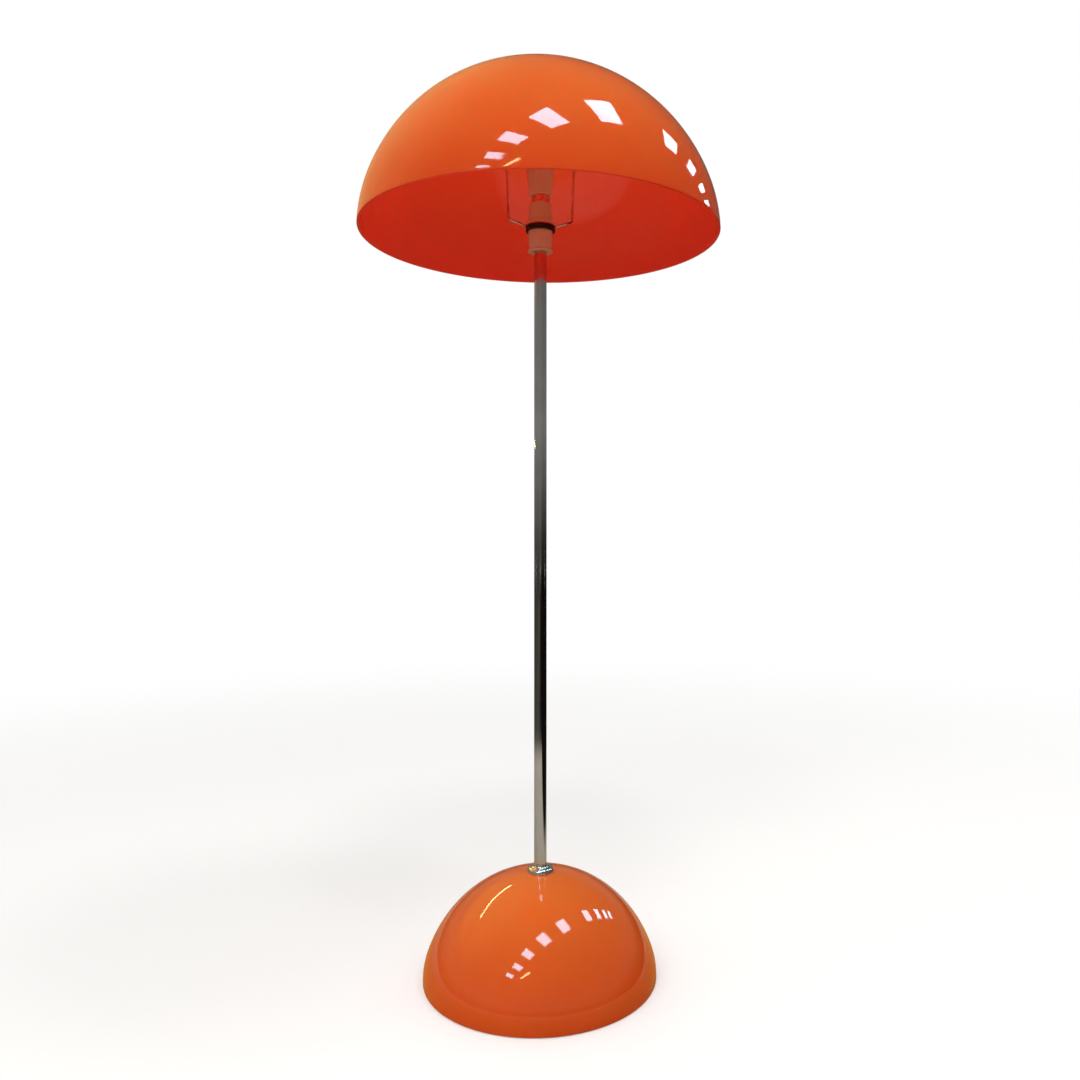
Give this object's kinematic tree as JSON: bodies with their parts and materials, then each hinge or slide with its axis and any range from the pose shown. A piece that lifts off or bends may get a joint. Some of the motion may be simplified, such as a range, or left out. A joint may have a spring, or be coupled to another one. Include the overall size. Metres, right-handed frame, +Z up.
{
  "type": "mushroom floor lamp",
  "caption": "Floor lamp with an open domed shade on a straight chromed tube, a domed weighted foot, a sprung bayonet lampholder and a wire shade carrier.",
  "frame": {"origin": "on the floor, on the tube's axis, at the bottom centre of the lamp", "axes": "+Z up along the tube; -Y is the front, +Y the back where the cord gland is; +X to the right seen from the front"},
  "size_m": [0.4315, 0.4314, 1.0981],
  "materials": {
    "orange_acrylic": "high gloss moulded orange acrylic",
    "chrome": "polished chrome plate",
    "felt": "pressed dark felt",
    "black_steel": "satin black paint",
    "iron": "rough casting, dark primer",
    "zinc_steel": "zinc plated",
    "nickel_wire": "bright nickel plate",
    "spring_steel": "drawn wire",
    "brass": "turned brass",
    "rubber_black": "matt moulded rubber",
    "holder_white": "satin white thermoset",
    "ring_black": "satin black thermoset",
    "lead_brown": "brown sleeving",
    "lead_blue": "blue sleeving",
    "lead_earth": "green and yellow sleeving",
    "bulb_cap_alloy": "satin drawn cap",
    "bulb_solder": "dull solder",
    "bulb_black": "black glazed disc",
    "bulb_white": "satin white housing",
    "bulb_opal": "opal, unlit",
    "led_aluminium": "white coated sheet",
    "led_yellow": "phosphor",
    "board_green": "lacquered board"
  },
  "bodies": {
    "stand": {"block_screws": "zinc_steel", "carrier_arm_left": "nickel_wire", "carrier_arm_right": "nickel_wire", "carrier_disc": "nickel_wire", "carrier_ring": "nickel_wire", "clamp_screws": "brass", "collar_gasket": "rubber_black", "collar_grub": "zinc_steel", "cord_gland": "rubber_black", "earth_screw": "zinc_steel", "earth_tag": "brass", "foot_collar": "chrome", "foot_pad": "felt", "foot_plate": "black_steel", "foot_shell": "orange_acrylic", "foot_weight": "iron", "head_nipple": "brass", "holder_barrel": "nickel_wire", "holder_cap": "holder_white", "holder_insert": "holder_white", "holder_posts": "brass", "holder_skirt": "holder_white", "lead_blue": "lead_blue", "lead_brown": "lead_brown", "lead_bush": "rubber_black", "lead_earth": "lead_earth", "lock_ring": "ring_black", "plate_screws": "zinc_steel", "pole_foot_bush": "zinc_steel", "pole_head_bush": "zinc_steel", "pole_tube": "chrome", "post_screws": "brass", "shade_finial": "chrome", "shade_seat_washer": "rubber_black", "shade_stud": "zinc_steel", "shade_top_washer": "rubber_black", "spring_left": "spring_steel", "spring_right": "spring_steel", "terminal_block": "holder_white", "tie_bolt": "zinc_steel", "tie_spring_washer": "zinc_steel", "tie_washer": "zinc_steel"},
    "shade": {"shade_shell": "orange_acrylic"},
    "plungers": {"plunger_left": "brass", "plunger_right": "brass"},
    "bulb": {"bulb_cap": "bulb_cap_alloy", "bulb_pins": "bulb_cap_alloy", "bulb_insulator": "bulb_black", "bulb_contacts": "bulb_solder", "bulb_housing": "bulb_white", "driver_board": "board_green", "led_board": "led_aluminium", "led_chips": "led_yellow", "bulb_globe": "bulb_opal"}
  },
  "joints": [
    {"name": "shade_turn", "type": "hinge", "parent": "stand", "child": "shade", "pos_m": [0, 0, 1.079], "axis": [0, 0, 1], "continuous": true},
    {"name": "contact_press", "type": "slide", "parent": "stand", "child": "plungers", "axis": [0, 0, -1], "range_m": [0, 0.0025], "stiffness_N_per_m": 1500, "springref_m": -0.003, "deforming": ["spring_left", "spring_right"]},
    {"name": "bulb_turn", "type": "hinge", "parent": "plungers", "child": "bulb", "pos_m": [0, 0, 0.9204], "axis": [0, 0, 1], "range_deg": [0, 22]}
  ]
}
